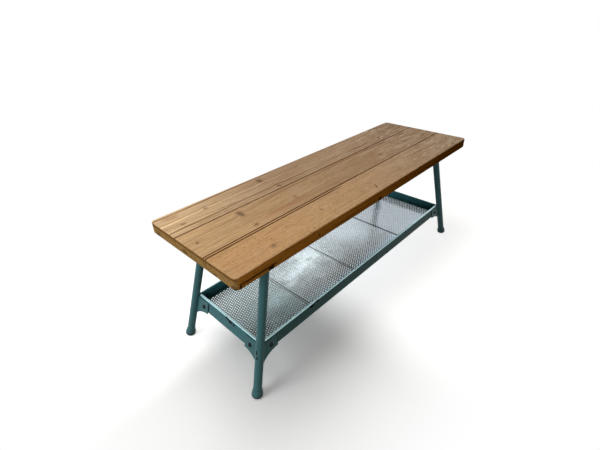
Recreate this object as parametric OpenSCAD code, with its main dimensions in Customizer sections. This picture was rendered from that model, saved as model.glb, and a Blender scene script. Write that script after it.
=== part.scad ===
// Dining bench: a seat of three tongued planks on four splayed steel tube legs, with a low tray
// whose four perforated plates lie loose and lift out. The origin is on the floor under the middle
// of the seat, +X runs along the seat, and the front is at -Y.

/* [Seat] */
// Length of the seat
seat_l = 1200; // [1000:10:1500]
// Width of the seat across its three planks
seat_w = 382; // [350:2:440]
// Thickness of the planks
seat_t = 36.5; // [32:0.5:45]
// Height of the seat's top above the floor
seat_h = 453; // [430:1:500]
// Width of the back plank
plank_back_w = 130.5; // [115:0.5:140]
// Width of the front plank
plank_front_w = 122.5; // [112:0.5:140]
// Radius of the seat's four corners, seen from above
seat_corner_r = 13; // [12:1:40]
// Radius of the seat's upper edges
seat_top_r = 3; // [1:0.5:9]
// Radius of the seat's lower edges
seat_low_r = 5; // [1:0.5:9]
// Gap between two planks
joint_gap = 0.4; // [0.2:0.1:0.8]
// Chamfer along the top edges where two planks meet
joint_chamfer = 1.2; // [0.5:0.1:2.5]
// Length of a plank's tongue
tongue_l = 9; // [6:0.5:12]
// Thickness of a plank's tongue
tongue_t = 10; // [7:0.5:12]
// Clearance round a tongue in its groove
tongue_gap = 0.3; // [0.1:0.1:0.6]
// Length of the long split beside the front joint, from the seat's left end
split_l = 520; // [300:10:800]
// From the front joint to that split
split_from_joint = 9; // [6:0.5:14]
// Width of the split at the seat's top
split_w = 1.8; // [1:0.1:3]
// Depth of either split
split_deep = 3; // [1:0.5:5]
// Length of the short split in the seat's front edge
edge_split_l = 113; // [60:1:180]
// From the seat's left end to the short split
edge_split_x = 17; // [13:1:60]
// Widest opening of the short split
edge_split_w = 1.6; // [0.8:0.1:2.5]
// Height of the short split above the seat's underside
edge_split_z = 14; // [10:0.5:24]

/* [Bearers and seat screws] */
// Width of the flat bar across the seat's underside
bearer_w = 50; // [42:1:70]
// Thickness of that bar
bearer_t = 6; // [4:0.5:8]
// From the last screw to the bar's end
bearer_end = 10; // [8:1:20]
// From the leg's axis to the screws beside it
screw_from_leg = 25; // [23:0.5:29]
// From the middle plank's edges to its screws
screw_from_edge = 30; // [20:1:40]
// Diameter of a seat screw
screw_d = 5; // [4:0.5:6]
// Length of a seat screw under its head
screw_l = 30; // [20:1:34]
// Diameter of the screw's head
screw_head_d = 10; // [8:0.5:12]
// Height of the screw's head
screw_head_h = 3.5; // [2.5:0.5:4.5]
// Clearance round a screw in its hole through the bar
screw_gap = 0.3; // [0.2:0.1:0.6]
// Clearance round a screw in its plank
screw_fit = 0.05; // [0.05:0.05:0.1]

/* [Legs] */
// Outer diameter of the leg tube
leg_d = 25; // [22:0.5:28]
// Wall of the leg tube
leg_wall = 2; // [1.5:0.5:3]
// From the seat's end to the leg's axis, under the seat
leg_top_inset_x = 139; // [110:0.5:160]
// From the seat's long edge to the leg's axis, under the seat
leg_top_inset_y = 59.5; // [45:0.5:65]
// From the seat's end to the leg's axis, at the floor
leg_foot_inset_x = 23; // [5:0.5:40]
// From the seat's long edge to the leg's axis, at the floor
leg_foot_inset_y = 16.5; // [2:0.5:25]

/* [Feet] */
// Largest diameter of a foot
foot_d = 33; // [30:0.5:40]
// Height of the foot up the leg
foot_h = 27; // [22:1:40]
// Thickness of the foot under the tube's end
foot_floor = 8; // [5:0.5:10]
// Wall of the foot at its upper rim
foot_rim = 0.8; // [0.5:0.1:1.5]
// Radius of the foot's lower edge
foot_edge_r = 8; // [5:0.5:10]
// How far the foot's end is worn away where it stands on the floor
foot_worn = 1.5; // [0.5:0.1:2.5]
// Height of the ring scored round the foot
foot_ring_h = 9.5; // [8:0.5:11]
// Depth of that ring
foot_ring_deep = 0.5; // [0.3:0.1:0.8]
// Clearance of the tube in its foot
foot_gap = 0.1; // [0.05:0.05:0.3]

/* [Tray rails] */
// Height of the rails' top edge above the floor
rail_top = 158.5; // [150:0.5:200]
// Height of a rail
rail_h = 40; // [34:1:50]
// Thickness of the rails' sheet
rail_t = 3; // [2:0.5:4]
// Outer radius of a rail's bends
rail_bend_r = 2.5; // [1:0.5:4]
// Width of the lip along a rail's top
lip_w = 6.5; // [5:0.5:9]
// How far the rails' ledges reach in under the plates
ledge_under = 4; // [4:0.5:12]
// From the leg's axis in to an end rail's outer edge
rail_setback_x = 6; // [4:0.5:7]
// From the leg's axis in to a side rail's outer edge
rail_setback_y = 3.2; // [3.1:0.1:5]
// Gap between two rails' mitred ends
mitre_gap = 0.3; // [0.1:0.1:0.6]

/* [Shelf plates] */
// Thickness of a shelf plate
plate_t = 2; // [1:0.5:3]
// Gap between the plates and the rails' lips
plate_gap = 1.5; // [1:0.1:3]
// Radius of a plate's corners
plate_corner_r = 4; // [2:0.5:8]
// Place of the seam between the left and the mid-left plate
seam_left_x = -295; // [-340:1:-250]
// Place of the seam in the middle
seam_mid_x = -56; // [-100:1:0]
// Place of the seam between the mid-right and the right plate
seam_right_x = 242; // [200:1:300]
// Gap between two plates
seam_gap = 3; // [1:0.5:5]

/* [Corner brackets] */
// Thickness of a bracket's sheet
bracket_t = 3; // [2:0.5:3]
// Reach of a bracket along an end rail, from the rails' corner
bracket_reach_end = 61; // [55:1:75]
// Reach of a bracket along a side rail, from the rails' corner
bracket_reach_side = 55; // [54:1:75]
// From the rails' top down to a bracket's upper edge
bracket_drop = 5; // [4:0.5:8]
// From the rails' top down to the lower corner of a bracket's wing
bracket_wing_h = 43; // [41:0.5:50]
// From the rails' top down to a bracket's lower end at the leg
bracket_h = 65; // [60:1:80]
// Radius of the hollow curve along a bracket's lower edge
bracket_curve_r = 85; // [70:1:120]
// How much shorter the bracket's bend is than its wings, at each end
bend_inset = 1; // [0.5:0.5:5]
// Clearance between a bracket and its leg
weld_gap = 0.1; // [0.05:0.05:0.2]
// Clearance between a rail's end and the bracket's bend or the leg
rail_end_gap = 0.5; // [0.3:0.1:1]

/* [Rivets] */
// Diameter of a rivet's domed head
rivet_head_d = 14; // [11:0.5:16]
// Height of a rivet's domed head
rivet_head_h = 5; // [3.5:0.5:6]
// Diameter of a rivet's shank
rivet_d = 6; // [4:0.5:7]
// Clearance round a rivet in its holes
rivet_gap = 0.2; // [0.1:0.05:0.3]
// From the rails' corner to the rivet in an end rail
rivet_end = 43.5; // [38:0.5:48]
// From the rails' corner to the rivet in a side rail
rivet_side = 40; // [38:0.5:46]
// From the rails' top down to a rivet
rivet_drop = 26; // [18:1:28]
// Diameter of a rivet's flattened inner end
rivet_tail_d = 10; // [8:0.5:12]
// Height of that end
rivet_tail_h = 2; // [1:0.5:3]

/* [Hidden] */
$fn = 96;

wood = [0.77, 0.60, 0.42];
paint = [0.24, 0.42, 0.44];
raw_steel = [0.55, 0.56, 0.57];
galvanised = [0.68, 0.71, 0.72];

// How far a cutting solid runs past what it cuts
past = 1;
// A cutting block that is larger than any corner of the bench
block = 200;
// Turn of a round surface's seam about a leg's axis
seam_turn = 135;

// The seat: its underside and the places of its two joints
seat_under = seat_h - seat_t;
joint_back_y = seat_w / 2 - plank_back_w;
joint_front_y = plank_front_w - seat_w / 2;

// A leg's axis in the corner at +X and +Y, from the floor to the seat's underside
foot_x = seat_l / 2 - leg_foot_inset_x;
foot_y = seat_w / 2 - leg_foot_inset_y;
leg_top_x = seat_l / 2 - leg_top_inset_x;
leg_top_y = seat_w / 2 - leg_top_inset_y;
leg_run = [leg_top_x - foot_x, leg_top_y - foot_y, seat_under];
leg_tilt = acos(leg_run.z / norm(leg_run));
leg_turn = atan2(leg_run.y, leg_run.x);
bearer_under = seat_under - bearer_t;

// The rails lean outwards on their way down, as the legs do
lean_x = atan(-leg_run.x / leg_run.z);
lean_y = atan(-leg_run.y / leg_run.z);
rail_x = foot_x + leg_run.x * rail_top / leg_run.z - rail_setback_x;
rail_y = foot_y + leg_run.y * rail_top / leg_run.z - rail_setback_y;
ledge_top = rail_top - rail_h + rail_t;

// The clear cylinders round a leg's axis that its neighbours are cut to
bracket_bore_r = leg_d / 2 + weld_gap;
bracket_bend_r = bracket_bore_r + bracket_t;
rail_cope_r = bracket_bend_r + rail_end_gap;

// Screws: places along Y, the same under each end of the seat
screw_rows = [
  -leg_top_y - screw_from_leg, -leg_top_y + screw_from_leg,
  joint_front_y + screw_from_edge, joint_back_y - screw_from_edge,
  leg_top_y - screw_from_leg, leg_top_y + screw_from_leg
];

// Plates: the tray's clear mouth, less the gap
plate_x = rail_x - lip_w - plate_gap;
plate_y = rail_y - lip_w - plate_gap;

// Puts what is made for the corner at +X and +Y into the corner with these signs
module in_corner(sign_x, sign_y) {
  mirror([sign_x < 0 ? 1 : 0, 0, 0]) mirror([0, sign_y < 0 ? 1 : 0, 0]) children();
}

// Stands what is made along Z on a leg's axis, with its zero at the floor. The last turn moves a
// round surface's seam away from the side that the leg leans to
module on_leg_axis() {
  translate([foot_x, foot_y, 0]) rotate([0, leg_tilt, leg_turn]) rotate([0, 0, seam_turn]) children();
}

// Lays what is drawn flat on the end rail's outer face: X runs along +Y, Y up the face, Z outwards
module on_end_face() {
  translate([rail_x, 0, rail_top]) rotate([0, -lean_x, 0]) rotate([90, 0, 90]) children();
}

// Lays what is drawn flat on the side rail's outer face: X runs along -X, Y up the face, Z outwards
module on_side_face() {
  translate([0, rail_y, rail_top]) rotate([lean_y, 0, 0]) rotate([90, 0, 180]) children();
}

// A rectangle about the origin with round corners
module round_rect(width, height, r) {
  square([width - 2 * r, height], center = true);
  square([width, height - 2 * r], center = true);
  for (sx = [-1, 1], sy = [-1, 1])
    translate([sx * (width / 2 - r), sy * (height / 2 - r)]) circle(r = r);
}

// The seat's section across a width, with eased edges: the lower ones are worn rounder than the upper
module slab_section(width) {
  translate([-width / 2, seat_low_r - seat_t / 2]) square([width, seat_t - seat_low_r - seat_top_r]);
  translate([seat_top_r - width / 2, 0]) square([width - 2 * seat_top_r, seat_t / 2]);
  translate([seat_low_r - width / 2, -seat_t / 2]) square([width - 2 * seat_low_r, seat_t / 2]);
  for (side = [-1, 1]) {
    translate([side * (width / 2 - seat_top_r), seat_t / 2 - seat_top_r]) circle(r = seat_top_r);
    translate([side * (width / 2 - seat_low_r), seat_low_r - seat_t / 2]) circle(r = seat_low_r);
  }
}

// The seat before it is parted into planks, with round corners and eased edges
module seat_blank() {
  run_x = seat_l / 2 - seat_corner_r;
  run_y = seat_w / 2 - seat_corner_r;
  translate([0, 0, seat_under + seat_t / 2]) {
    translate([-run_x, 0, 0]) rotate([90, 0, 90])
      linear_extrude(2 * run_x) slab_section(seat_w);
    translate([0, run_y, 0]) rotate([90, 0, 0])
      linear_extrude(2 * run_y) slab_section(seat_l);
    for (sx = [-1, 1], sy = [-1, 1]) translate([sx * run_x, sy * run_y, 0])
      rotate_extrude() intersection() {
        slab_section(2 * seat_corner_r);
        translate([0, -seat_t / 2]) square([seat_corner_r, seat_t]);
      }
  }
}

// A beam along the whole seat between two places across it and two heights
module along_seat(y_from, y_to, z_from, z_to) {
  translate([-seat_l / 2 - past, y_from, z_from]) cube([seat_l + 2 * past, y_to - y_from, z_to - z_from]);
}

// A V-shaped cut in the seat's top, from its left end along the length that is asked
module v_cut(y, length, width, deep) {
  translate([-seat_l / 2 - past, y, seat_h]) rotate([90, 0, 90]) linear_extrude(length + past)
    polygon([[-width / 2, 0], [0, -deep], [width / 2, 0], [width / 2, past], [-width / 2, past]]);
}

// The chamfers along the top of a joint, for both planks at once
module joint_cut(y) {
  half = joint_chamfer + joint_gap / 2;
  v_cut(y, seat_l + past, 2 * half, half);
}

// The short split in the front edge: widest a third of the way along, and pointed at both ends
module edge_split() {
  translate([edge_split_x - seat_l / 2, split_deep - seat_w / 2, seat_under + edge_split_z])
    rotate([90, 0, 0]) linear_extrude(split_deep + past) polygon([
      [0, 0], [edge_split_l / 3, -edge_split_w / 2], [edge_split_l, 0], [edge_split_l / 3, edge_split_w / 2]]);
}

// A tongue that stands out of a plank's back edge, at the middle of its thickness
module tongue(y) {
  translate([-seat_l / 2, y - joint_gap / 2 - past, seat_under + (seat_t - tongue_t) / 2])
    cube([seat_l, tongue_l + joint_gap / 2 + past, tongue_t]);
}

// The groove that a tongue lies in
module groove(y) {
  along_seat(y, y + tongue_l + tongue_gap, seat_under + (seat_t - tongue_t) / 2 - tongue_gap,
    seat_under + (seat_t + tongue_t) / 2 + tongue_gap);
}

// The holes for the seat screws, with the clearance that is asked
module screw_holes(clearance) {
  for (sx = [-1, 1], y = screw_rows) translate([sx * leg_top_x, y, bearer_under - past])
    cylinder(d = screw_d + 2 * clearance, h = past + screw_l + past);
}

// One plank: what lies between two places across the seat
module plank(y_from, y_to) {
  difference() {
    intersection() {
      seat_blank();
      along_seat(y_from, y_to, seat_under - past, seat_h + past);
    }
    screw_holes(screw_fit);
  }
}

module seat_plank_back() {
  color(wood) difference() {
    plank(joint_back_y + joint_gap / 2, seat_w / 2 + past);
    joint_cut(joint_back_y);
    groove(joint_back_y);
  }
}

module seat_plank_middle() {
  color(wood) {
    difference() {
      plank(joint_front_y + joint_gap / 2, joint_back_y - joint_gap / 2);
      joint_cut(joint_back_y);
      joint_cut(joint_front_y);
      groove(joint_front_y);
    }
    tongue(joint_back_y);
  }
}

module seat_plank_front() {
  color(wood) {
    difference() {
      plank(-seat_w / 2 - past, joint_front_y - joint_gap / 2);
      joint_cut(joint_front_y);
      v_cut(joint_front_y - split_from_joint, split_l, split_w, split_deep);
      edge_split();
    }
    tongue(joint_front_y);
  }
}

// The flat bar under one end of the seat, which ties the planks together and carries two legs
module cross_bearer(sign_x) {
  reach = leg_top_y + screw_from_leg + bearer_end;
  color(paint) difference() {
    translate([sign_x * leg_top_x - bearer_w / 2, -reach, bearer_under]) cube([bearer_w, 2 * reach, bearer_t]);
    screw_holes(screw_gap);
  }
}

// Flat-topped screws from below, two into each plank at each bearer
module seat_screws() {
  color(raw_steel) for (sx = [-1, 1], y = screw_rows) translate([sx * leg_top_x, y, bearer_under]) {
    translate([0, 0, -screw_head_h]) cylinder(d = screw_head_d, h = screw_head_h);
    cylinder(d = screw_d, h = screw_l);
  }
}

// A leg tube from its foot to the bearer's underside
module leg(sign_x, sign_y) {
  color(paint) in_corner(sign_x, sign_y) difference() {
    on_leg_axis() translate([0, 0, foot_floor]) cylinder(d = leg_d, h = norm(leg_run));
    on_leg_axis() cylinder(d = leg_d - 2 * leg_wall, h = norm(leg_run) + block);
    translate([leg_top_x - block / 2, leg_top_y - block / 2, bearer_under]) cube([block, block, block]);
  }
}

// Radius of a foot's flare at a height between its lower edge and its rim
function flare_r(share) = foot_d / 2 - (foot_d / 2 - leg_d / 2 - foot_gap - foot_rim) * (1 - cos(180 * share)) / 2;

// A flared ferrule with a rounded end, worn flat where it stands
module foot(sign_x, sign_y) {
  low = -foot_worn;
  side = low + foot_edge_r;
  flare_from = foot_ring_h + 2 * foot_ring_deep;
  flare_steps = 8;
  color(paint) in_corner(sign_x, sign_y) difference() {
    on_leg_axis() rotate_extrude() {
      polygon(concat(
        [[0, low], [foot_d / 2 - foot_edge_r, low], [foot_d / 2 - foot_edge_r, side], [foot_d / 2, side],
          [foot_d / 2, foot_ring_h - foot_ring_deep], [foot_d / 2 - foot_ring_deep, foot_ring_h],
          [foot_d / 2, foot_ring_h + foot_ring_deep]],
        [for (i = [0:flare_steps]) [flare_r(i / flare_steps),
          flare_from + (foot_h - flare_from) * i / flare_steps]],
        [[0, foot_h]]));
      intersection() {
        translate([foot_d / 2 - foot_edge_r, side]) circle(r = foot_edge_r);
        translate([0, low]) square([foot_d / 2, foot_edge_r]);
      }
    }
    on_leg_axis() translate([0, 0, foot_floor]) cylinder(d = leg_d + 2 * foot_gap, h = foot_h);
    translate([foot_x - block / 2, foot_y - block / 2, -block]) cube([block, block, block]);
  }
}

// Points along an arc, from one angle to another
function arc(centre, r, from, to, steps = 6) =
  [for (i = [0:steps]) let (a = from + (to - from) * i / steps) centre + r * [cos(a), sin(a)]];

// A rail's section: X is the way out of the tray, and Y is the height below the rail's top edge
module rail_section(lean) {
  top_run = rail_bend_r / tan(45 + lean / 2);
  low_run = rail_bend_r / tan(45 - lean / 2);
  low_x = rail_h * tan(lean);
  wall = rail_t / cos(lean);
  ledge_end = -lip_w - plate_gap - ledge_under;
  polygon(concat(
    arc([-top_run, -rail_bend_r], rail_bend_r, 90, lean),
    arc([low_x - low_run, -rail_h + rail_bend_r], rail_bend_r, lean, -90),
    [[ledge_end, -rail_h], [ledge_end, -rail_h + rail_t],
      [(rail_h - rail_t) * tan(lean) - wall, -rail_h + rail_t], [rail_t * tan(lean) - wall, -rail_t],
      [-lip_w, -rail_t], [-lip_w, 0]]));
}

// The half of space past a corner's mitre plane: side 1 takes what is past it along +X, -1 along +Y
module past_mitre(side) {
  normal = [1, -1, tan(lean_x) - tan(lean_y)];
  translate([rail_x, rail_y, rail_top]) rotate([0, acos(normal.z / norm(normal)), atan2(normal.y, normal.x)])
    translate([-block / 2, -block / 2, side > 0 ? -mitre_gap / 2 : mitre_gap / 2 - block])
      cube([block, block, block]);
}

// The clear room round a leg for the bracket's bend
module leg_clearance(r) {
  on_leg_axis() cylinder(r = r, h = norm(leg_run));
}

// The hole for a rivet, and the rivet's place, on each face of a corner
module at_end_rivet() {
  along = rail_y + rivet_drop * tan(lean_y) - rivet_end;
  on_end_face() translate([along, -rivet_drop / cos(lean_x), 0]) children();
}

module at_side_rivet() {
  along = rail_x + rivet_drop * tan(lean_x) - rivet_side;
  on_side_face() translate([-along, -rivet_drop / cos(lean_y), 0]) children();
}

module rivet_hole() {
  translate([0, 0, -rail_t - past]) cylinder(d = rivet_d + 2 * rivet_gap, h = rail_t + bracket_t + 2 * past);
}

// A long rail, at the front or the back
module side_rail(sign_y) {
  color(paint) mirror([0, sign_y < 0 ? 1 : 0, 0]) difference() {
    translate([-rail_x - rail_h, rail_y, rail_top]) rotate([90, 0, 90])
      linear_extrude(2 * (rail_x + rail_h)) rail_section(lean_y);
    for (sx = [-1, 1]) in_corner(sx, 1) {
      past_mitre(1);
      leg_clearance(rail_cope_r);
      at_side_rivet() rivet_hole();
    }
  }
}

// A short rail, at the left or the right end
module end_rail(sign_x) {
  color(paint) mirror([sign_x < 0 ? 1 : 0, 0, 0]) difference() {
    translate([rail_x, rail_y + rail_h, rail_top]) rotate([90, 0, 0])
      linear_extrude(2 * (rail_y + rail_h)) rail_section(lean_x);
    for (sy = [-1, 1]) in_corner(1, sy) {
      past_mitre(-1);
      leg_clearance(rail_cope_r);
      at_end_rivet() rivet_hole();
    }
  }
}

// One wing of a bracket, drawn on a face that leans by the first angle along a corner that leans by
// the second; corner is the rails' corner and axis_out the leg's axis, both along the rail
module wing(lean, corner_lean, corner, axis_out, reach) {
  fall = cos(lean);
  top = -bracket_drop / fall;
  low = -bracket_h / fall;
  root = [corner + bracket_h * tan(corner_lean) - leg_d / 2, low];
  tip = [corner - reach, -bracket_wing_h / fall];
  middle = (root + tip) / 2;
  half = norm(tip - root) / 2;
  across = [tip.y - root.y, root.x - tip.x] / (2 * half);
  centre = middle - across * sqrt(bracket_curve_r * bracket_curve_r - half * half);
  difference() {
    linear_extrude(bracket_t) polygon([
      [tip.x, top], [corner + axis_out + bracket_drop * tan(corner_lean), top],
      [corner + axis_out + bracket_h * tan(corner_lean), low], [tip.x, low]]);
    translate([centre.x, centre.y, -past]) cylinder(r = bracket_curve_r, h = bracket_t + 2 * past);
  }
}

// A pressed bracket: a wing on each rail's face, and a half-round bend round the leg's inner side
module corner_bracket(sign_x, sign_y) {
  color(paint) in_corner(sign_x, sign_y) difference() {
    union() {
      on_end_face() wing(lean_x, lean_y, rail_y, rail_setback_y, bracket_reach_end);
      on_side_face() mirror([1, 0, 0]) wing(lean_y, lean_x, rail_x, rail_setback_x, bracket_reach_side);
      intersection() {
        leg_clearance(bracket_bend_r);
        translate([rail_x - block / 2, rail_y - block / 2, rail_top - bracket_h + bend_inset])
          cube([block, block, bracket_h - bracket_drop - 2 * bend_inset]);
        on_end_face() translate([0, -block / 2, bracket_t - block]) cube([2 * block, block, block]);
        on_side_face() translate([-rail_x - block, -block / 2, bracket_t - block])
          cube([2 * block, block, block]);
      }
    }
    leg_clearance(bracket_bore_r);
    at_end_rivet() rivet_hole();
    at_side_rivet() rivet_hole();
  }
}

// A rivet that stands on a bracket's face, with its domed head outside
module rivet() {
  dome_r = (rivet_head_d * rivet_head_d / 4 + rivet_head_h * rivet_head_h) / (2 * rivet_head_h);
  translate([0, 0, -rail_t]) cylinder(d = rivet_d, h = rail_t + bracket_t);
  translate([0, 0, -rail_t - rivet_tail_h]) cylinder(d = rivet_tail_d, h = rivet_tail_h);
  intersection() {
    translate([0, 0, bracket_t + rivet_head_h - dome_r]) sphere(r = dome_r);
    translate([0, 0, bracket_t]) cylinder(d = rivet_head_d + past, h = dome_r + past);
  }
}

module bracket_rivets() {
  color(paint) for (sx = [-1, 1], sy = [-1, 1]) in_corner(sx, sy) {
    at_end_rivet() rivet();
    at_side_rivet() rivet();
  }
}

// A loose plate on the rails' ledges between two places along the tray
module shelf_plate(x_from, x_to) {
  color(galvanised) translate([(x_from + x_to) / 2, 0, ledge_top])
    linear_extrude(plate_t) round_rect(x_to - x_from, 2 * plate_y, plate_corner_r);
}

seat_plank_back();
seat_plank_middle();
seat_plank_front();
cross_bearer(-1);  // cross_bearer_left
cross_bearer(1);  // cross_bearer_right
seat_screws();
leg(-1, -1);  // leg_front_left
leg(1, -1);  // leg_front_right
leg(-1, 1);  // leg_back_left
leg(1, 1);  // leg_back_right
foot(-1, -1);  // foot_front_left
foot(1, -1);  // foot_front_right
foot(-1, 1);  // foot_back_left
foot(1, 1);  // foot_back_right
side_rail(-1);  // rail_front
side_rail(1);  // rail_back
end_rail(-1);  // rail_left
end_rail(1);  // rail_right
corner_bracket(-1, -1);  // corner_bracket_front_left
corner_bracket(1, -1);  // corner_bracket_front_right
corner_bracket(-1, 1);  // corner_bracket_back_left
corner_bracket(1, 1);  // corner_bracket_back_right
bracket_rivets();
shelf_plate(-plate_x, seam_left_x - seam_gap / 2);  // shelf_plate_left
shelf_plate(seam_left_x + seam_gap / 2, seam_mid_x - seam_gap / 2);  // shelf_plate_mid_left
shelf_plate(seam_mid_x + seam_gap / 2, seam_right_x - seam_gap / 2);  // shelf_plate_mid_right
shelf_plate(seam_right_x + seam_gap / 2, plate_x);  // shelf_plate_right
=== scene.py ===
import math

import bpy
import numpy as np
from mathutils import Matrix, Vector


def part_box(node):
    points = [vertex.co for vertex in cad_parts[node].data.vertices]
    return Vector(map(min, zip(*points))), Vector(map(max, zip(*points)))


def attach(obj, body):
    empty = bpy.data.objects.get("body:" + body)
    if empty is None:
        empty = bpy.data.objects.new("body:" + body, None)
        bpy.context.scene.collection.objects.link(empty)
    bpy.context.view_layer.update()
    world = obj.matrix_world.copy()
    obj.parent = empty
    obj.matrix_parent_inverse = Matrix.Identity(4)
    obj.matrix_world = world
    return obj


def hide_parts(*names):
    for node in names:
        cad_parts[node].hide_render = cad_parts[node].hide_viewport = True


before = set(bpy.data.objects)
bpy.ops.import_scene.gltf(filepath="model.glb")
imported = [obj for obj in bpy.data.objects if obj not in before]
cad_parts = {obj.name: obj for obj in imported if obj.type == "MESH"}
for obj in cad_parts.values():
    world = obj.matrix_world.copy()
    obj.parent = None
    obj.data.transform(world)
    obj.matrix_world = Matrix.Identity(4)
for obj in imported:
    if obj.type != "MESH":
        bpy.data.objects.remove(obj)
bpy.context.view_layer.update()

# The seat planks: three boards of old softwood, planed and oiled, tongued and grooved together.
# Each board has its growth rings round a heart of its own, some way off, so that the top shows fine
# nearly straight lines and the ends show arcs. Small knots push the rings aside.


def feed(tree, node, inputs):
    """Feeds a node's inputs, by name or number: each from a socket, or with a value of its own."""
    for name, value in inputs.items():
        if isinstance(value, bpy.types.NodeSocket):
            tree.links.new(value, node.inputs[name])
        else:
            node.inputs[name].default_value = value


def add_node(tree, kind, inputs=None, **fields):
    """One shader node with its fields set and its inputs fed."""
    node = tree.nodes.new("ShaderNode" + kind)
    for name, value in fields.items():
        setattr(node, name, value)
    feed(tree, node, inputs or {})
    return node


def maths(tree, operation, *values, clamp=False):
    """The result of a maths node on up to three numbers or sockets."""
    return add_node(tree, "Math", dict(enumerate(values)), operation=operation, use_clamp=clamp).outputs[0]


def chain(tree, operation, values):
    """Numbers or sockets put through one maths operation, two at a time, from the first."""
    result = values[0]
    for value in values[1:]:
        result = maths(tree, operation, result, value)
    return result


def product(tree, *values):
    """The product of several numbers or sockets."""
    return chain(tree, "MULTIPLY", values)


def total(tree, *values):
    """The sum of several numbers or sockets."""
    return chain(tree, "ADD", values)


def less(tree, value, taken):
    """A number or socket with another taken from it."""
    return maths(tree, "SUBTRACT", value, taken)


def vector_maths(tree, operation, *values):
    """The vector, or for a length the number, that a vector maths node gives."""
    node = add_node(tree, "VectorMath", dict(enumerate(values)), operation=operation)
    return node.outputs["Value" if operation in ("LENGTH", "DISTANCE", "DOT_PRODUCT") else "Vector"]


def split_point(tree, point):
    """A point's X, Y and Z."""
    return tuple(add_node(tree, "SeparateXYZ", {"Vector": point}).outputs)


def fade(tree, value, start, end):
    """A smooth step: 0 where the value is at start, 1 where it is at end."""
    return add_node(tree, "MapRange", {"Value": value, "From Min": start, "From Max": end},
                    interpolation_type="SMOOTHSTEP").outputs["Result"]


def spread(tree, value, low, high):
    """A number from 0 to 1 spread evenly over a range."""
    return add_node(tree, "MapRange", {"Value": value, "To Min": low, "To Max": high}).outputs["Result"]


def cloud(tree, point, scale, detail=2.0, rough=0.5):
    """Soft noise from 0 to 1 at a point, with one scale for each way."""
    placed = vector_maths(tree, "MULTIPLY", point, scale)
    return add_node(tree, "TexNoise", {"Vector": placed, "Scale": 1.0, "Detail": detail,
                                       "Roughness": rough}).outputs[0]


def sway(tree, point, scale, detail, size):
    """Soft noise either side of 0 at a point, up to half a size each way."""
    return product(tree, less(tree, cloud(tree, point, scale, detail), 0.5), size)


def new_group(name, inputs, outputs):
    """An empty node group with named sockets, what its inputs give, and its end node."""
    tree = bpy.data.node_groups.new(name, "ShaderNodeTree")
    for way, sockets in (("INPUT", inputs), ("OUTPUT", outputs)):
        for label, kind in sockets.items():
            tree.interface.new_socket(label, in_out=way, socket_type="NodeSocket" + kind)
    return tree, tree.nodes.new("NodeGroupInput").outputs, tree.nodes.new("NodeGroupOutput")


# The grain's finer marks are soft noise, long along the plank: its scale each way, detail and roughness
GRAIN_MARKS = {
    "Fibre": ((20.0, 700.0, 700.0), 3.0, 0.60),
    "Streaks": ((4.0, 190.0, 190.0), 4.0, 0.65),
    "Tone": ((2.2, 20.0, 20.0), 3.0, 0.50),
    "Mottle": ((55.0, 90.0, 90.0), 4.0, 0.60),
    "Fleck": ((90.0, 300.0, 300.0), 2.0, 0.60),
    "Worn": ((26.0, 170.0, 170.0), 4.0, 0.65),
    "Patch": ((11.0, 48.0, 48.0), 4.0, 0.60),
}


def make_ring_group():
    """Growth rings: a point's distance from a wandering heart line, divided by the rings' width. Its
    fraction runs from pale early wood to the dark late wood that ends a ring. The heart wanders slowly,
    the rings ripple finely, and every few of them lie closer together."""
    tree, given, end = new_group(
        "growth rings",
        {"Point": "Vector", "Heart Y": "Float", "Heart Z": "Float", "Width": "Float",
         "Taper": "Float", "Seed": "Vector", "Pull": "Float"},
        dict.fromkeys(("Late Wood", *GRAIN_MARKS), "Float"))
    seeded = vector_maths(tree, "ADD", given["Point"], given["Seed"])
    x, y, z = split_point(tree, given["Point"])
    across = total(tree, less(tree, y, given["Heart Y"]), sway(tree, seeded, (1.7, 0.8, 0.8), 2.0, 0.045))
    up = total(tree, less(tree, z, given["Heart Z"]), sway(tree, seeded, (2.4, 3.0, 3.0), 2.0, 0.03))
    reach = maths(tree, "SQRT", total(tree, product(tree, across, across), product(tree, up, up)))
    reach = total(tree, reach, product(tree, x, given["Taper"]),
                  sway(tree, seeded, (8.0, 60.0, 60.0), 3.0, 0.003), given["Pull"])
    ring = maths(tree, "DIVIDE", reach, given["Width"])
    uneven = maths(tree, "SINE", product(tree, ring, 0.83))
    share = maths(tree, "FRACT", total(tree, ring, uneven))
    late = product(tree, fade(tree, share, 0.42, 0.86), fade(tree, share, 1.0, 0.92))
    strength = spread(tree, cloud(tree, seeded, (3.0, 18.0, 18.0)), -0.5, 2.2)
    marks = {name: cloud(tree, seeded, *values) for name, values in GRAIN_MARKS.items()}
    feed(tree, end, {"Late Wood": maths(tree, "MULTIPLY", late, strength, clamp=True), **marks})
    return tree


def make_knot_group():
    """A knot: its distance in half lengths, made ragged, gives an oval body and a darker rim, and the
    pull that bends the rings round it falls off with the square of that distance."""
    tree, given, end = new_group("knot", {"Point": "Vector", "Centre": "Vector", "Size": "Vector"},
                                 {"Core": "Float", "Rim": "Float", "Pull": "Float"})
    away = vector_maths(tree, "SUBTRACT", given["Point"], given["Centre"])
    distance = vector_maths(tree, "LENGTH", vector_maths(tree, "DIVIDE", away, given["Size"]))
    distance = total(tree, distance, sway(tree, away, (170.0, 170.0, 170.0), 3.0, 1.3))
    falling = maths(tree, "EXPONENT", product(tree, distance, distance, -0.20))
    feed(tree, end, {
        "Core": fade(tree, distance, 1.25, 0.55),
        "Rim": product(tree, fade(tree, distance, 2.2, 1.0), fade(tree, distance, 0.5, 1.0)),
        "Pull": product(tree, falling, 0.006)})
    return tree


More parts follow.
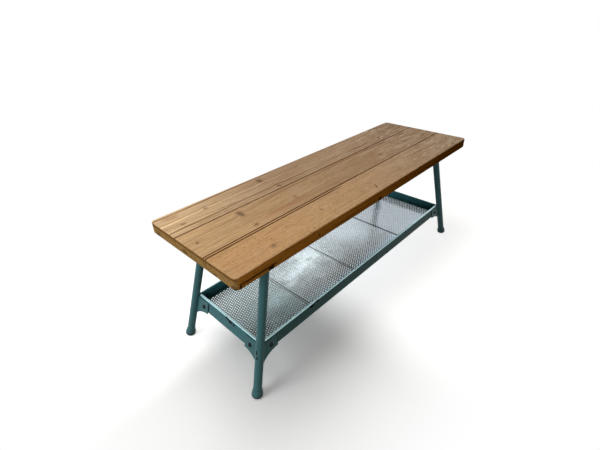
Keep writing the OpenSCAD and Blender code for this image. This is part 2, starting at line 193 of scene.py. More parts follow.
def make_streak_group():
    """A streak: dark near the line between two points, thinner at its ends, and ragged."""
    tree, given, end = new_group(
        "streak", {"Point": "Vector", "From": "Vector", "To": "Vector", "Width": "Float"},
        {"Mask": "Float"})
    away = vector_maths(tree, "SUBTRACT", given["Point"], given["From"])
    run = vector_maths(tree, "SUBTRACT", given["To"], given["From"])
    share = maths(tree, "DIVIDE", vector_maths(tree, "DOT_PRODUCT", away, run),
                  vector_maths(tree, "DOT_PRODUCT", run, run), clamp=True)
    nearest = add_node(tree, "VectorMath", {0: run, "Scale": share}, operation="SCALE").outputs["Vector"]
    wobble = add_node(tree, "CombineXYZ", {"Y": sway(tree, given["Point"], (14.0, 14.0, 14.0), 3.0, 0.006)})
    distance = vector_maths(tree, "DISTANCE", vector_maths(tree, "ADD", away, wobble.outputs[0]), nearest)
    swell = product(tree, share, less(tree, 1.0, share))
    ragged = spread(tree, cloud(tree, given["Point"], (30.0, 260.0, 260.0), 3.0), 0.3, 1.7)
    width = product(tree, given["Width"], ragged, total(tree, product(tree, swell, 3.0), 0.3))
    feed(tree, end, {"Mask": fade(tree, maths(tree, "DIVIDE", distance, width), 1.0, 0.2)})
    return tree


growth_rings = make_ring_group()
knot = make_knot_group()
streak = make_streak_group()

seat_low, seat_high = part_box("seat_plank_middle")
seat_end, seat_top = seat_high[0], seat_high[2]
seat_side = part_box("seat_plank_back")[1][1]
# The front plank's tongue reaches this far past its joint, into the middle plank's groove
TONGUE_LENGTH = 0.009
back_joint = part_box("seat_plank_back")[0][1]
front_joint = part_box("seat_plank_front")[1][1] - TONGUE_LENGTH
# The long split lies this far in front of the front joint, and runs from the left end to here
SPLIT_BEYOND_JOINT = 0.009
SPLIT_END_X = -0.08
# The short crack in the front edge: how far up the plank it lies, and its two ends
CRACK_UP = 0.014
CRACK_FROM_X, CRACK_TO_X = -0.586, -0.470
# How far dirt has crept from a joint and from the crack: faint out to the first, full within the second
JOINT_DIRT = (0.0034, 0.0008)
CRACK_DIRT = (0.0030, 0.0012)
# The planed top's colour gives way to the edges' over the rounding, between these depths
ROUNDING_FROM, ROUNDING_TO = 0.0003, 0.0034
# A knot is a branch that runs down into the plank, so depth counts for less in its shape
DEPTH_SHARE = 0.15
# Knots on an edge and the top's stain reach this far into the plank, and the end grain's knots are paler
EDGE_KNOT_DEPTH = 0.02
STAIN_DEPTH = 0.02
END_KNOT_SHARE = 0.6
# Where colours change along a plank: it greys from the first, in painted sheen, and the others are the
# ranges of the far part, whose grey tint is painted sheen too, of the pale painted sheen and of the
# edges' painted shade
GREY_FROM_X = -0.72
FAR_X, SHEEN_X, EDGE_SHADE_X = (0.0, 0.6), (-0.6, 0.6), (-0.6, 0.5)
# The end grain's colour begins and is full this far from the end, and its dark band ends and is full
# this far below the top
END_GRAIN, END_BAND = (0.012, 0.004), (0.012, 0.008)


def srgb(red, green, blue):
    """A colour as it looks on a screen, from 0 to 255, as the numbers that a shader takes."""
    def one(value):
        value = value / 255
        return value / 12.92 if value <= 0.04045 else ((value + 0.055) / 1.055) ** 2.4
    return (one(red), one(green), one(blue), 1.0)


# Each plank's heart (across and up), ring width, taper and seed, and where its colour has all greyed
# in painted sheen; how strongly streaks, rings and flecks show; its colours, warm and in painted sheen;
# its knots on the top (place, half lengths, darkness), on the front edge and on the left end (place, half
# lengths); its dark streaks (two places, width, darkness); and its reddish stain (place, half lengths).
PLANKS = {
    "seat_plank_back": {
        "heart": (0.40, 0.34), "width": 0.0058, "taper": 0.010, "seed": (3.1, 0.0, 0.0),
        "grey_by": -0.10, "streaky": 0.45, "ringed": 0.85, "flecked": 0.30,
        "warm": srgb(250, 214, 168), "grey": srgb(180, 154, 126),
        "knots": [
            ((-0.227, 0.156), (0.009, 0.013), 0.85), ((-0.455, 0.137), (0.006, 0.008), 0.45),
            ((-0.546, 0.105), (0.007, 0.005), 0.70), ((-0.209, 0.080), (0.006, 0.009), 0.75),
            ((0.382, 0.143), (0.016, 0.012), 0.25), ((0.575, 0.150), (0.010, 0.010), 0.30)],
        "front_knots": [],
        "end_knots": [((0.155, 0.426), (0.009, 0.008))],
        "streaks": [
            ((-0.521, 0.107), (-0.225, 0.080), 0.0026, 0.70),
            ((0.366, 0.076), (0.398, 0.102), 0.0040, 0.80),
            ((-0.073, 0.138), (-0.050, 0.152), 0.0030, 0.40),
            ((0.150, 0.124), (0.285, 0.127), 0.0020, 0.35)],
        "reddish": ((-0.552, 0.162), (0.026, 0.012))},
    "seat_plank_middle": {
        "heart": (0.130, 0.23), "width": 0.0042, "taper": 0.004, "seed": (9.7, 1.0, 0.0),
        "grey_by": 0.0, "streaky": 0.45, "ringed": 0.42, "flecked": 0.35,
        "warm": srgb(222, 182, 134), "grey": srgb(170, 140, 107),
        "knots": [
            ((-0.408, 0.029), (0.008, 0.015), 0.85), ((-0.573, -0.004), (0.004, 0.004), 0.80),
            ((-0.231, -0.013), (0.006, 0.005), 0.55), ((-0.415, -0.049), (0.006, 0.006), 0.70),
            ((0.229, -0.018), (0.007, 0.005), 0.45), ((0.108, -0.044), (0.004, 0.003), 0.40),
            ((0.360, 0.014), (0.009, 0.006), 0.30)],
        "front_knots": [],
        "end_knots": [((0.019, 0.431), (0.014, 0.006))],
        "streaks": [
            ((0.369, -0.012), (0.508, -0.018), 0.0028, 0.65),
            ((-0.415, -0.029), (-0.142, -0.030), 0.0020, 0.50),
            ((-0.432, -0.056), (-0.408, -0.044), 0.0025, 0.40),
            ((0.222, -0.024), (0.240, -0.012), 0.0025, 0.50)],
        "reddish": ((-0.280, -0.039), (0.140, 0.011))},
    "seat_plank_front": {
        "heart": (0.010, 0.22), "width": 0.0040, "taper": -0.004, "seed": (17.3, 2.0, 0.0),
        "grey_by": 0.35, "streaky": 0.22, "ringed": 0.22, "flecked": 0.85,
        "warm": srgb(208, 162, 111), "grey": srgb(184, 153, 120),
        "knots": [
            ((-0.454, -0.158), (0.008, 0.006), 0.65), ((-0.241, -0.128), (0.005, 0.004), 0.60),
            ((-0.013, -0.132), (0.007, 0.003), 0.35), ((0.150, -0.150), (0.006, 0.004), 0.30)],
        "front_knots": [
            ((-0.493, 0.424), (0.010, 0.008)), ((-0.030, 0.424), (0.009, 0.008)),
            ((-0.587, 0.425), (0.003, 0.008)), ((-0.320, 0.432), (0.003, 0.005))],
        "end_knots": [((-0.111, 0.424), (0.008, 0.006)), ((-0.180, 0.424), (0.009, 0.008))],
        "streaks": [
            ((0.237, -0.108), (0.572, -0.131), 0.0028, 0.60),
            ((-0.022, -0.174), (-0.006, -0.154), 0.0040, 0.75),
            ((0.336, -0.155), (0.490, -0.156), 0.0020, 0.40),
            ((0.500, -0.184), (0.519, -0.168), 0.0050, 0.70)],
        "reddish": ((-0.400, -0.105), (0.050, 0.006))},
}

# The colours laid over a plank's own on its planed top. The far end's grey and the pale tint at the end
# of the list are painted sheen; the others are the wood's own marks
TOP_TINTS = {
    "far end": srgb(170, 150, 130), "tone": srgb(164, 122, 76), "mottle": srgb(222, 188, 146),
    "streaks": srgb(128, 88, 50), "late wood": srgb(112, 74, 40), "fleck": srgb(128, 82, 46),
    "fibre": srgb(124, 88, 56), "bleached": srgb(214, 192, 168), "soiled": srgb(118, 88, 62),
    "worn": srgb(234, 214, 190), "reddish": srgb(158, 100, 66), "knot rim": srgb(140, 98, 66),
    "knot": srgb(92, 68, 56), "dark line": srgb(84, 50, 26), "painted sheen": srgb(247, 220, 200),
}
# The colours of the ends and long edges, from the left end's to the marks laid over them; the left and
# right ones are the same brown, lit and in painted shade
EDGE_TINTS = {
    "left": srgb(255, 168, 66), "right": srgb(178, 104, 12), "end grain": srgb(208, 162, 100),
    "end band": srgb(136, 92, 38), "mottle": srgb(130, 78, 14), "streaks": srgb(86, 46, 8),
    "fleck": srgb(70, 36, 6), "late wood": srgb(74, 38, 6), "knot": srgb(40, 18, 6),
}
CRACK_TINT = srgb(58, 28, 8)
JOINT_TINT = srgb(84, 46, 22)


def use_group(tree, group, inputs):
    """What a group gives where it is placed in a tree."""
    return add_node(tree, "Group", inputs, node_tree=group).outputs


def largest(tree, *values):
    """The largest of several numbers or sockets."""
    return chain(tree, "MAXIMUM", values)


def place_knots(tree, point, plank):
    """One plank's knots, on its top, its front edge and its left end: their body, rim and pull."""
    flat = vector_maths(tree, "MULTIPLY", point, (1.0, 1.0, DEPTH_SHARE))
    pulls, rims, cores = [], [], []
    for (x, y), (along, across), dark in plank["knots"]:
        one = use_group(tree, knot, {"Point": flat, "Centre": (x, y, seat_top * DEPTH_SHARE),
                                     "Size": (along, across, along)})
        pulls.append(one["Pull"])
        rims.append(product(tree, one["Rim"], dark))
        cores.append(product(tree, one["Core"], dark))
    for (x, z), (along, up) in plank["front_knots"]:
        one = use_group(tree, knot, {"Point": point, "Centre": (x, -seat_side, z),
                                     "Size": (along, EDGE_KNOT_DEPTH, up)})
        cores.append(one["Core"])
    for (y, z), (along, up) in plank["end_knots"]:
        one = use_group(tree, knot, {"Point": point, "Centre": (-seat_end, y, z),
                                     "Size": (EDGE_KNOT_DEPTH, along, up)})
        cores.append(product(tree, one["Core"], END_KNOT_SHARE))
    return largest(tree, *cores), largest(tree, *rims), total(tree, *pulls)


def place_streaks(tree, point, plank):
    """One plank's dark streaks, each by its own darkness."""
    lines = []
    for (x0, y0), (x1, y1), width, dark in plank["streaks"]:
        one = use_group(tree, streak, {"Point": point, "From": (x0, y0, seat_top),
                                       "To": (x1, y1, seat_top), "Width": width})
        lines.append(product(tree, one["Mask"], dark))
    return largest(tree, *lines)


def beside(tree, value, place, reach, core):
    """1 where the value is within core of a place, fading to 0 at reach from it."""
    return fade(tree, maths(tree, "ABSOLUTE", less(tree, value, place)), reach, core)


def joint_dirt(tree, point):
    """Dirt along both joints, and along the split, where it thins out towards the split's end."""
    x, y, _ = split_point(tree, point)
    split = product(tree, beside(tree, y, front_joint - SPLIT_BEYOND_JOINT, *JOINT_DIRT),
                    fade(tree, x, SPLIT_END_X + 0.01, SPLIT_END_X - 0.06))
    return largest(tree, beside(tree, y, back_joint, *JOINT_DIRT),
                   beside(tree, y, front_joint, *JOINT_DIRT), split)


def edge_crack(tree, point):
    """Dirt in the short crack along the front edge, beside the near corner. It thins out at the
    crack's two ends, and shows on that edge only."""
    x, y, z = split_point(tree, point)
    return product(tree, beside(tree, z, seat_low[2] + CRACK_UP, *CRACK_DIRT),
                   fade(tree, x, CRACK_TO_X + 0.010, CRACK_TO_X - 0.015),
                   fade(tree, x, CRACK_FROM_X - 0.004, CRACK_FROM_X + 0.004),
                   fade(tree, y, -seat_side + 0.008, -seat_side + 0.004))


def mix_colours(tree, share, first, second):
    """A colour between two: the first where the share is 0, the second where it is 1."""
    return add_node(tree, "Mix", {0: share, 6: first, 7: second}, data_type="RGBA").outputs[2]


def lay_over(tree, colour, layers):
    """Colours laid over a first one in turn, each by its own share."""
    for share, tint in layers:
        colour = mix_colours(tree, share, colour, tint)
    return colour


def top_colour(tree, point, plank, marks, core, rim, line):
    """The planed top: warm at the left end and greyed towards the right in painted sheen, with the grain's
    marks, the stain, the knots and the streaks over it, and a faint pale painted sheen that grows towards
    the right."""
    x, _, _ = split_point(tree, point)
    wavy_x = total(tree, x, spread(tree, marks["Tone"], -0.12, 0.12))
    far = fade(tree, x, *FAR_X)
    aged = spread(tree, far, 0.08, 0.42)
    (stain_x, stain_y), (along, across) = plank["reddish"]
    from_stain = vector_maths(tree, "SUBTRACT", point, (stain_x, stain_y, seat_top))
    from_stain = vector_maths(tree, "DIVIDE", from_stain, (along, across, STAIN_DEPTH))
    stain = fade(tree, vector_maths(tree, "LENGTH", from_stain), 1.3, 0.4)
    # The plank's own colour greys towards the right in painted sheen
    own = mix_colours(tree, fade(tree, wavy_x, GREY_FROM_X, plank["grey_by"]), plank["warm"], plank["grey"])
    return lay_over(tree, own, [
        # The far end's grey tint is painted sheen
        (product(tree, far, 0.6), TOP_TINTS["far end"]),
        (spread(tree, marks["Tone"], -0.15, 0.30), TOP_TINTS["tone"]),
        (spread(tree, marks["Mottle"], -0.35, 0.45), TOP_TINTS["mottle"]),
        (product(tree, fade(tree, marks["Streaks"], 0.46, 0.70), plank["streaky"]), TOP_TINTS["streaks"]),
        (product(tree, marks["Late Wood"], plank["ringed"]), TOP_TINTS["late wood"]),
        (product(tree, fade(tree, marks["Fleck"], 0.56, 0.74), plank["flecked"]), TOP_TINTS["fleck"]),
        (product(tree, fade(tree, marks["Fibre"], 0.42, 0.78), 0.45), TOP_TINTS["fibre"]),
        (product(tree, fade(tree, marks["Patch"], 0.50, 0.66), aged), TOP_TINTS["bleached"]),
        (product(tree, fade(tree, marks["Patch"], 0.48, 0.34), aged), TOP_TINTS["soiled"]),
        (product(tree, fade(tree, marks["Worn"], 0.58, 0.66), spread(tree, far, 0.15, 0.90)),
         TOP_TINTS["worn"]),
        (product(tree, stain, 0.35), TOP_TINTS["reddish"]),
        (product(tree, rim, 0.45), TOP_TINTS["knot rim"]),
        (product(tree, core, 0.85), TOP_TINTS["knot"]),
        (line, TOP_TINTS["dark line"]),
        # A pale painted sheen that grows towards the right
        (spread(tree, fade(tree, x, *SHEEN_X), 0.025, 0.045), TOP_TINTS["painted sheen"])])


def edge_colour(tree, point, marks, core):
    """The ends and long edges, where the oil has soaked in: deeper brown to the right in painted shade,
    paler on the end grain with a darker band along its upper edge, and the grain's marks over both."""
    x, _, z = split_point(tree, point)
    at_end = fade(tree, maths(tree, "ABSOLUTE", x), *(seat_end - inset for inset in END_GRAIN))
    band = fade(tree, z, *(seat_top - depth for depth in END_BAND))
    # Lit at the left end, in painted shade towards the right
    own = mix_colours(tree, fade(tree, x, *EDGE_SHADE_X), EDGE_TINTS["left"], EDGE_TINTS["right"])
    return lay_over(tree, own, [
        (at_end, EDGE_TINTS["end grain"]),
        (product(tree, band, at_end, 0.65), EDGE_TINTS["end band"]),
        (spread(tree, marks["Mottle"], -0.3, 0.2), EDGE_TINTS["mottle"]),
        (product(tree, fade(tree, marks["Streaks"], 0.46, 0.66), 0.40), EDGE_TINTS["streaks"]),
        (product(tree, fade(tree, marks["Fleck"], 0.52, 0.70), 0.4), EDGE_TINTS["fleck"]),
        (product(tree, marks["Late Wood"], 0.38), EDGE_TINTS["late wood"]),
        (product(tree, core, 0.9), EDGE_TINTS["knot"])])


def bumped(tree, height, strength, distance):
    """The normals of a surface that a height of 1 raises by a distance in metres, with a strength from
    0 for none of it to 1 for all."""
    bump = add_node(tree, "Bump", {"Strength": strength, "Distance": distance, "Height": height})
    return bump.outputs["Normal"]


def new_material(name):
    """A material with a plain surface shader, its tree, that shader, and the object's own points."""
    material = bpy.data.materials.new(name)
    material.use_nodes = True
    tree = material.node_tree
    return material, tree, tree.nodes["Principled BSDF"], add_node(tree, "TexCoord").outputs["Object"]


def dress(node_name, material):
    """Gives a node of the frame its material in every slot."""
    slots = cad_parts[node_name].data.materials
    slots.clear()
    slots.append(material)


def make_wood(name, plank):
    """One plank's softwood: its own rings, knots and streaks, dull, with the late wood standing proud."""
    material, tree, shader, point = new_material(name)
    core, rim, pull = place_knots(tree, point, plank)
    line = place_streaks(tree, point, plank)
    heart_y, heart_z = plank["heart"]
    marks = use_group(tree, growth_rings, {
        "Point": point, "Heart Y": heart_y, "Heart Z": heart_z, "Width": plank["width"],
        "Taper": plank["taper"], "Seed": plank["seed"], "Pull": pull})
    _, _, z = split_point(tree, point)
    side = fade(tree, z, seat_top - ROUNDING_FROM, seat_top - ROUNDING_TO)
    top = top_colour(tree, point, plank, marks, core, rim, line)
    dirt = product(tree, joint_dirt(tree, point), spread(tree, side, 1.0, 0.3))
    colour = lay_over(tree, top, [
        (side, edge_colour(tree, point, marks, core)),
        (product(tree, edge_crack(tree, point), 0.9), CRACK_TINT),
        (dirt, JOINT_TINT)])
    rough = total(tree, product(tree, marks["Late Wood"], -0.06), spread(tree, marks["Mottle"], 0.42, 0.62))
    height = total(tree, product(tree, marks["Late Wood"], 0.7), product(tree, marks["Fibre"], 0.5))
    height = less(tree, height, product(tree, line, 2.0))
    feed(tree, shader, {
        "Base Color": colour, "Roughness": rough, "Specular IOR Level": 0.0,
        "Normal": bumped(tree, height, strength=0.4, distance=0.0006)})
    return material


for name, plank in PLANKS.items():
    dress(name, make_wood("wood_" + name, plank))

# The flat bars under the seat, the tube legs welded to them, and the legs' pressed feet, all of steel.
# One old coat of blue-green paint, brushed on by hand, covers them. It is rubbed on the edges, whose pale
# tint is partly a painted highlight, chipped to dark metal in places, dirty near the floor, and greyed
# by dust and a painted sheen.
PAINT_TINTS = {
    "deep": srgb(58, 118, 126), "light": srgb(72, 134, 142), "dirt": srgb(46, 74, 74),
    "near floor": srgb(48, 66, 66), "sole": srgb(36, 42, 40), "edge": srgb(150, 190, 196),
    "dust_and_sheen": srgb(112, 114, 96), "lip": srgb(216, 250, 255), "grime_and_shade": srgb(10, 20, 22),
    "bare": srgb(15, 11, 10),
}
# How far from an edge the paint is rubbed, and where it is soiled near the floor and on the sole
EDGE_WIDTH = 0.0012
NEAR_FLOOR_Z, SOLE_Z = (0.035, 0.0), (0.009, 0.003)
# Between these places along a rail, the rubbed metal of its lip grows smoother
SMOOTHER_LIP_X = (0.08, 0.36)


def make_paint_group():
    """Brushed paint: soft mottling and dirt, pale edges, rubbed and partly a painted highlight, where the
    normal of a rounded edge leaves the face's own, ragged chips, and a lip rubbed through to bright metal
    that carries a painted highlight. Dust with painted sheen, and grime with painted shade, are laid over
    it as given."""
    tree, given, end = new_group(
        "brushed paint",
        {"Point": "Vector", "Chips": "Float", "Lip": "Float", "Grime And Shade": "Float", "Dust And Sheen": "Float"},
        {"Colour": "Color", "Roughness": "Float", "Metal": "Float", "Height": "Float"})
    point = given["Point"]
    x, _, z = split_point(tree, point)
    mottle = cloud(tree, point, (24.0, 24.0, 24.0), 4.0, 0.6)
    speck = cloud(tree, point, (420.0, 420.0, 420.0), 3.0, 0.7)
    brush = cloud(tree, point, (60.0, 60.0, 14.0), 3.0)
    dirt = fade(tree, cloud(tree, point, (60.0, 60.0, 40.0), 4.0, 0.7), 0.52, 0.75)
    rounded = add_node(tree, "Bevel", {"Radius": EDGE_WIDTH}, samples=4).outputs["Normal"]
    flat = add_node(tree, "NewGeometry").outputs["Normal"]
    edge = fade(tree, vector_maths(tree, "DOT_PRODUCT", rounded, flat), 0.985, 0.86)
    rubbed = product(tree, edge, fade(tree, cloud(tree, point, (90.0, 90.0, 90.0), 4.0, 0.7), 0.50, 0.62))
    bare = largest(tree, given["Chips"], product(tree, rubbed, 0.8))
    chip = fade(tree, total(tree, bare, less(tree, speck, 0.5)), 0.52, 0.62)
    colour = lay_over(tree, mix_colours(tree, mottle, PAINT_TINTS["deep"], PAINT_TINTS["light"]), [
        (product(tree, dirt, 0.30), PAINT_TINTS["dirt"]),
        (product(tree, fade(tree, z, *NEAR_FLOOR_Z), 0.5), PAINT_TINTS["near floor"]),
        (product(tree, fade(tree, z, *SOLE_Z), 0.6), PAINT_TINTS["sole"]),
        # Pale edges: rubbed paint and a painted highlight
        (product(tree, edge, 0.25), PAINT_TINTS["edge"]),
        # A grey of dust and painted sheen
        (given["Dust And Sheen"], PAINT_TINTS["dust_and_sheen"]),
        # The lip's pale metal: rubbed paint and a painted highlight
        (given["Lip"], PAINT_TINTS["lip"]),
        # Grime, with painted shade round the rivets and beside the brackets
        (given["Grime And Shade"], PAINT_TINTS["grime_and_shade"]),
        (chip, PAINT_TINTS["bare"])])
    duller_lip = spread(tree, fade(tree, x, *SMOOTHER_LIP_X), 0.28, 0.04)
    rough = total(tree, spread(tree, mottle, 0.28, 0.42), product(tree, chip, 0.3),
                  product(tree, given["Lip"], duller_lip))
    feed(tree, end, {
        "Colour": colour, "Roughness": rough,
        "Metal": product(tree, given["Lip"], less(tree, 1.0, chip), 0.97),
        "Height": less(tree, product(tree, brush, 0.5), chip)})
    return tree


brushed_paint = make_paint_group()

# Places where the paint has come off the rails and the near corner: the chip's middle and half sizes
CHIPS = [
    ((-0.317, -0.1560, 0.1505), (0.012, 0.006, 0.0055)),
    ((-0.294, -0.1555, 0.1545), (0.014, 0.006, 0.0035)),
    ((-0.529, -0.002, 0.1540), (0.006, 0.011, 0.0045)),
    ((-0.529, -0.017, 0.1500), (0.006, 0.010, 0.0055)),
    ((-0.530, -0.034, 0.1490), (0.006, 0.006, 0.0040)),
    ((-0.549, -0.160, 0.1470), (0.003, 0.003, 0.0110)),
    ((-0.553, -0.164, 0.1310), (0.003, 0.003, 0.0060)),
    ((0.245, -0.1560, 0.1520), (0.007, 0.006, 0.0040)),
    ((0.110, -0.1580, 0.1250), (0.008, 0.006, 0.0030)),
]
# The faint dirty ring near each foot's lower edge: its height, then how far it reaches and is full
FOOT_RING_Z = 0.0095
FOOT_RING = (0.0022, 0.0008)
# The rivets of one corner, on the end rail and on the side rail, where X and Y are counted outwards;
# how far a head's edge is from its place; and the way that faces from the light, where the painted shade
# lies
RIVETS = [(0.5341, 0.1142, 0.1325), (0.4941, 0.1577, 0.1325)]
RIVET_EDGE = 0.0072
SHADED_WAY = (-1.0, -1.0, 0.2)
# How far that painted shade reaches outside a head's edge and is full, and how far inside
SHADE_OUTSIDE, SHADE_INSIDE = (0.0022, 0.0012), (0.0010, 0.0002)
# The rails' lip, which carries a painted highlight, and the painted shadow in the gap beside each
# bracket's wings, up to a height below the lip
rail_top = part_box("rail_front")[1][2]
LIP_DEEP = 0.0024
bracket_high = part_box("corner_bracket_front_left")[1]
WING_ENDS = (-bracket_high[0], -bracket_high[1])
GAP_INSET = 0.0012
GAP_SHADE = (0.0024, 0.0014)
GAP_TOP_Z = 0.1490


def chipped(tree, point, chips):
    """1 in the middle of a chip, down to 0 at one and a half times its half sizes."""
    masks = [0.0]
    for centre, size in chips:
        away = vector_maths(tree, "DIVIDE", vector_maths(tree, "SUBTRACT", point, centre), size)
        masks.append(fade(tree, vector_maths(tree, "LENGTH", away), 1.5, 0.5))
    return largest(tree, *masks)


def rivet_shade(tree, point):
    """Painted shade in a thin ring round each rivet's head, on its shaded side. The four corners are
    alike, so the points are folded into one of them."""
    folded = vector_maths(tree, "ABSOLUTE", point)
    signs = vector_maths(tree, "SIGN", point)
    rings = []
    for place in RIVETS:
        away = vector_maths(tree, "SUBTRACT", folded, place)
        distance = vector_maths(tree, "LENGTH", away)
        unfolded = vector_maths(tree, "MULTIPLY", away, signs)
        shaded = vector_maths(tree, "DOT_PRODUCT", unfolded, SHADED_WAY)
        rings.append(product(tree, fade(tree, distance, *(RIVET_EDGE + reach for reach in SHADE_OUTSIDE)),
                             fade(tree, distance, *(RIVET_EDGE - reach for reach in SHADE_INSIDE)),
                             fade(tree, shaded, 0.001, 0.004)))
    return largest(tree, *rings)


def bracket_gap_shade(tree, point):
    """Painted shadow in the gap beside each bracket's two wings, on the rails' outward faces only."""
    x, y, z = split_point(tree, vector_maths(tree, "ABSOLUTE", point))
    face = add_node(tree, "NewGeometry").outputs["True Normal"]
    from_middle = vector_maths(tree, "MULTIPLY", point, (1.0, 1.0, 0.0))
    outward = fade(tree, vector_maths(tree, "DOT_PRODUCT", face, from_middle), 0.02, 0.08)
    lines = [product(tree, beside(tree, along, wing_end - GAP_INSET, *GAP_SHADE),
                     fade(tree, z, GAP_TOP_Z + 0.001, GAP_TOP_Z - 0.001), outward)
             for along, wing_end in zip((x, y), WING_ENDS)]
    return largest(tree, *lines)


def make_paint(name, chips, sheen, dust_and_sheen, lip_share=0.0):
    """The paint on a group of pieces. Sheen is how much it mirrors, and the dust share is how much grey
    lies over its colour, real dust and painted sheen together. A rail's lip is rubbed through to metal,
    with a painted highlight, by a share, and its brackets' gaps get a painted shadow."""
    material, tree, shader, point = new_material(name)
    _, _, z = split_point(tree, point)
    lip = 0.0
    # Grime: the feet's dirty ring, painted shade round the rivets and, on a rail, painted shadow beside the
    # brackets
    grime_and_shade = largest(tree, product(tree, beside(tree, z, FOOT_RING_Z, *FOOT_RING), 0.8),
                    rivet_shade(tree, point))
    if lip_share > 0:
        # The lip's pale metal is rubbed paint with a painted highlight, by a share
        uneven = spread(tree, cloud(tree, point, (50.0, 50.0, 50.0), 3.0), 0.8, 1.0)
        lip = product(tree, fade(tree, z, rail_top - LIP_DEEP, rail_top - LIP_DEEP / 3), uneven, lip_share)
        grime_and_shade = largest(tree, grime_and_shade, bracket_gap_shade(tree, point))
    paint = use_group(tree, brushed_paint, {
        "Point": point, "Chips": chipped(tree, point, chips), "Lip": lip,
        "Grime And Shade": product(tree, grime_and_shade, 0.95), "Dust And Sheen": dust_and_sheen})
    feed(tree, shader, {
        "Base Color": paint["Colour"], "Roughness": paint["Roughness"], "Specular IOR Level": sheen,
        "Normal": bumped(tree, paint["Height"], strength=0.3, distance=0.0008)})
    if lip_share > 0:
        feed(tree, shader, {"Metallic": paint["Metal"]})
    return material


leg_paint = make_paint("leg_paint", CHIPS, sheen=0.14, dust_and_sheen=0.16)
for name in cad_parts:
    if name.startswith(("cross_bearer_", "leg_", "foot_")):
        dress(name, leg_paint)

# The screws, of plain steel gone dull with age, driven up through the flat bars into the planks.
# They hold each plank to both bars, and don't show from above.
SCREW_LIGHT, SCREW_DARK = srgb(150, 150, 148), srgb(98, 92, 86)


def make_screw_steel():
    """Dull steel with soft darker patches."""
    material, tree, shader, point = new_material("screw_steel")
    patch = cloud(tree, point, (300.0, 300.0, 300.0), 3.0)
    feed(tree, shader, {"Base Color": mix_colours(tree, patch, SCREW_LIGHT, SCREW_DARK),
                        "Roughness": spread(tree, patch, 0.35, 0.6), "Metallic": 1.0})
    return material


dress("seat_screws", make_screw_steel())

# The tray's four rails: pressed sheet steel, each with a lip along the top and a narrow ledge inside.
# They have the legs' paint, rubbed bright along the lips by what slides over them, and the lips carry a
# painted highlight. Dust and a painted sheen grey the front rail, and the two far rails are rubbed less,
# with little of the lips' painted highlight.
dress("rail_front", make_paint("rail_paint", CHIPS, sheen=0.04, dust_and_sheen=0.32, lip_share=1.0))
dress("rail_left", make_paint("end_rail_paint", CHIPS, sheen=0.12, dust_and_sheen=0.04, lip_share=0.9))
far_rail_paint = make_paint("far_rail_paint", (), sheen=0.03, dust_and_sheen=0.0, lip_share=0.15)
for name in ("rail_back", "rail_right"):
    dress(name, far_rail_paint)

# The corner brackets, of steel strip bent round the legs' inner side, and the domed rivets that hold
# their wings to the rails. They were painted in place with the legs.
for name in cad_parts:
    if name.startswith(("corner_bracket_", "bracket_rivets")):
        dress(name, leg_paint)

# The tray's plates: loose sheets of galvanised steel, punched all over with staggered round holes.
# Each has a narrow plain border, and lies loose on the ledges inside the rails.
HOLE_D = 0.0055
HOLE_PITCH = 0.00875
PLAIN_BORDER = 0.002
HOLE_SIDES = 12
PLATES = ("left", "mid_left", "mid_right", "right")
SEAMS = [(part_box("shelf_plate_" + one)[1][0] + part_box("shelf_plate_" + other)[0][0]) / 2
         for one, other in zip(PLATES, PLATES[1:])]
# How far the shade of a seam reaches from its middle, and how far it is full
SEAM_SHADE = (0.0046, 0.0034)
# Where the look of the zinc changes along and across the tray, from one place to another. The far half
# and the front strip are lighter in painted reflection of the bright room, and the near corner is darker in
# painted reflection of the seat above it
FAR_HALF_X, POLISHED_X, NEAR_END_X = (0.0, 0.12), (0.23, 0.25), (-0.26, -0.34)
FRONT_STRIP_Y, NEAR_CORNER_Y = (-0.085, -0.125), (-0.09, 0.03)
STEEL_TINTS = {
    "light spangle": srgb(160, 174, 179), "dark spangle": srgb(149, 163, 169), "smear": srgb(130, 145, 150),
    "far half": srgb(200, 214, 224), "near strip": srgb(168, 204, 222), "far strip": srgb(204, 232, 250),
    "polished": srgb(158, 169, 176), "near end": srgb(140, 174, 180), "near corner": srgb(92, 104, 106),
    "seam": srgb(30, 40, 44),
}


def rectangles(x0, y0, x1, y1):
    """Flat quads, anticlockwise, each between two opposite corners."""
    return np.stack([np.stack(corner, -1) for corner in ((x0, y0), (x1, y0), (x1, y1), (x0, y1))], -2)


def at_height(points, height):
    """Flat points given a height."""
    return np.concatenate([points, np.full(points.shape[:-1] + (1,), height)], -1)


